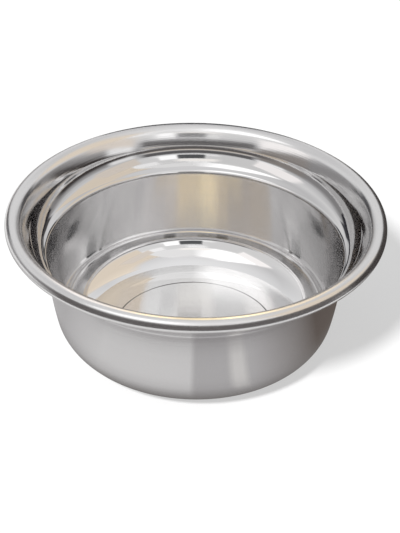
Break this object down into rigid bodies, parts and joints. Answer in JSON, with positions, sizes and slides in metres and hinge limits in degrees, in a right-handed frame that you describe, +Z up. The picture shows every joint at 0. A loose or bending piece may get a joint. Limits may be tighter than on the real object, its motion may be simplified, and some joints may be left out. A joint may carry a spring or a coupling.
{
  "type": "dog bowl",
  "caption": "Round drawn stainless bowl with a rolled rim, a coved shoulder and a pressed floor panel, on a bonded rubber ring that keeps it from sliding.",
  "frame": {"origin": "on the surface that the bowl stands on, below the middle of the bowl", "axes": "+Z up along the bowl's axis; the bowl is round, so X and Y are free"},
  "size_m": [0.176, 0.176, 0.0689],
  "materials": {
    "bowl_shell": "mirror polished inside, satin rim and outside",
    "non_slip_ring": "matte moulded rubber",
    "bond_film": "cured adhesive"
  },
  "bodies": {
    "root": {"bowl_shell": "bowl_shell", "non_slip_ring": "non_slip_ring", "bond_film": "bond_film"}
  },
  "joints": []
}
